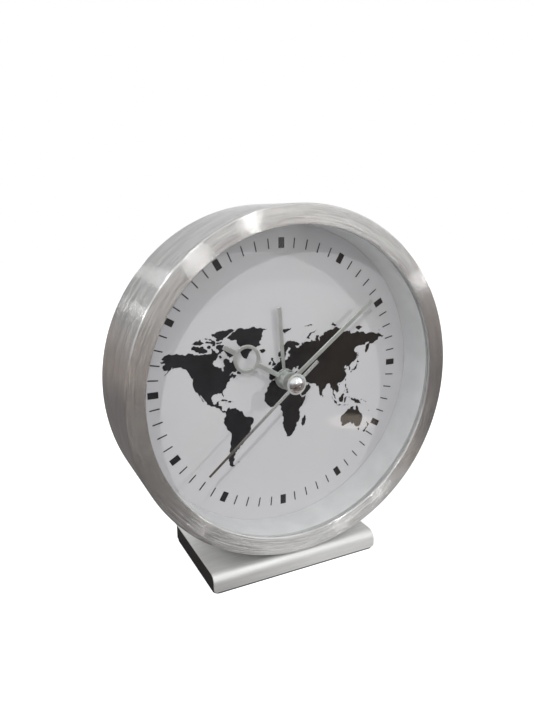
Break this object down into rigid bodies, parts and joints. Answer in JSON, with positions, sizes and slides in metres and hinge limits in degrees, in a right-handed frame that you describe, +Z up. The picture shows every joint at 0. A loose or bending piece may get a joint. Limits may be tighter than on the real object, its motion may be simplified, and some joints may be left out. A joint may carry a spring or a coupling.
{
  "type": "table alarm clock with world map dial",
  "caption": "Round brushed metal table alarm clock with a world map dial, hour, minute, second and alarm hands behind flat glass, on a low folded foot, with knobs and battery door behind.",
  "frame": {"origin": "centre of the foot's underside, on the surface that the clock stands on", "axes": "+Z up, dial faces -Y, +X to the right of someone reading the dial"},
  "size_m": [0.12, 0.0406, 0.1268],
  "materials": {
    "brushed_aluminium": "circular brushed",
    "satin_aluminium": "satin, fine straight grain",
    "clear_glass": "clear, flat",
    "black_rubber": "matt",
    "white_plastic": "satin white",
    "dial_white": "satin white",
    "print_black": "printed ink",
    "black_plastic": "fine textured",
    "hand_silver": "satin silver",
    "bright_chrome": "polished",
    "steel": "plated",
    "wheel_plastic": "natural acetal",
    "wheel_brass": "turned",
    "copper_wire": "wound enamelled wire",
    "board_green": "solder mask",
    "battery_label": "plain printed can",
    "magnet_grey": "sintered"
  },
  "bodies": {
    "case": {"case_ring": "brushed_aluminium", "crystal": "clear_glass", "crystal_gasket": "black_rubber", "rehaut_ring": "white_plastic", "dial_plate": "dial_white", "dial_markers": "print_black", "dial_map": "print_black", "dial_carrier": "black_plastic", "back_cover": "black_plastic", "back_cover_screws": "steel", "movement_screws": "steel", "movement_base": "black_plastic", "movement_cover": "black_plastic", "middle_plate": "white_plastic", "stator": "steel", "coil_core": "steel", "coil_bobbin": "white_plastic", "coil_winding": "copper_wire", "circuit_board": "board_green", "chip_cap": "black_plastic", "quartz_can": "steel", "buzzer": "black_plastic", "battery": "battery_label", "battery_contact_plus": "steel", "battery_contact_minus": "steel", "foot_shell": "satin_aluminium", "foot_core": "black_plastic", "foot_pad": "black_rubber", "foot_screws": "steel"},
    "minute_train": {"cannon_pinion": "wheel_brass", "centre_wheel": "wheel_brass", "minute_hand": "hand_silver"},
    "hour_train": {"hour_wheel": "wheel_plastic", "hour_hand": "hand_silver"},
    "second_train": {"second_wheel": "wheel_plastic", "second_hand": "hand_silver", "second_hand_cap": "bright_chrome"},
    "third_wheel": {"third_wheel": "wheel_plastic"},
    "intermediate_wheel": {"intermediate_wheel": "wheel_plastic"},
    "rotor": {"rotor_pinion": "wheel_plastic", "rotor_magnet": "magnet_grey"},
    "time_setting": {"minute_wheel": "wheel_plastic", "time_set_knob": "black_plastic"},
    "alarm_train": {"alarm_wheel": "wheel_plastic", "alarm_hand": "hand_silver"},
    "alarm_setting": {"alarm_set_wheel": "wheel_plastic", "alarm_set_knob": "black_plastic"},
    "alarm_switch": {"alarm_switch": "white_plastic"},
    "battery_door": {"battery_door": "black_plastic"}
  },
  "joints": [
    {"name": "minute_hand_turn", "type": "hinge", "parent": "case", "child": "minute_train", "pos_m": [0.0024, 0, 0.0668], "axis": [0, 1, 0], "continuous": true},
    {"name": "hour_hand_turn", "type": "hinge", "parent": "case", "child": "hour_train", "pos_m": [0.0024, 0, 0.0668], "axis": [0, 1, 0], "continuous": true},
    {"name": "second_hand_turn", "type": "hinge", "parent": "case", "child": "second_train", "pos_m": [0.0024, 0, 0.0668], "axis": [0, 1, 0], "continuous": true},
    {"name": "third_wheel_turn", "type": "hinge", "parent": "case", "child": "third_wheel", "pos_m": [0.0024, 0, 0.07527], "axis": [0, 1, 0], "continuous": true},
    {"name": "intermediate_wheel_turn", "type": "hinge", "parent": "case", "child": "intermediate_wheel", "pos_m": [0.0059, 0, 0.07286], "axis": [0, 1, 0], "continuous": true},
    {"name": "rotor_turn", "type": "hinge", "parent": "case", "child": "rotor", "pos_m": [0.0059, 0, 0.07736], "axis": [0, 1, 0], "continuous": true},
    {"name": "time_set_knob_turn", "type": "hinge", "parent": "case", "child": "time_setting", "pos_m": [-0.0066, 0, 0.0668], "axis": [0, 1, 0], "continuous": true},
    {"name": "alarm_hand_turn", "type": "hinge", "parent": "case", "child": "alarm_train", "pos_m": [0.0024, 0, 0.0668], "axis": [0, 1, 0], "continuous": true},
    {"name": "alarm_set_knob_turn", "type": "hinge", "parent": "case", "child": "alarm_setting", "pos_m": [0.0114, 0, 0.0668], "axis": [0, 1, 0], "continuous": true},
    {"name": "alarm_switch_slide", "type": "slide", "parent": "case", "child": "alarm_switch", "axis": [1, 0, 0], "range_m": [0, 0.004]},
    {"name": "battery_door_swing", "type": "hinge", "parent": "case", "child": "battery_door", "pos_m": [0.0024, 0.0131, 0.0398], "axis": [-1, 0, 0], "range_deg": [0, 90]}
  ],
  "couplings": [
    {"joint": "hour_hand_turn", "follows": "minute_hand_turn", "ratio": 0.083333},
    {"joint": "time_set_knob_turn", "follows": "minute_hand_turn", "ratio": -0.33333},
    {"joint": "third_wheel_turn", "follows": "minute_hand_turn", "ratio": -10},
    {"joint": "second_hand_turn", "follows": "minute_hand_turn", "ratio": 60},
    {"joint": "intermediate_wheel_turn", "follows": "minute_hand_turn", "ratio": -360},
    {"joint": "rotor_turn", "follows": "minute_hand_turn", "ratio": 1800},
    {"joint": "alarm_set_knob_turn", "follows": "alarm_hand_turn", "ratio": -2}
  ]
}
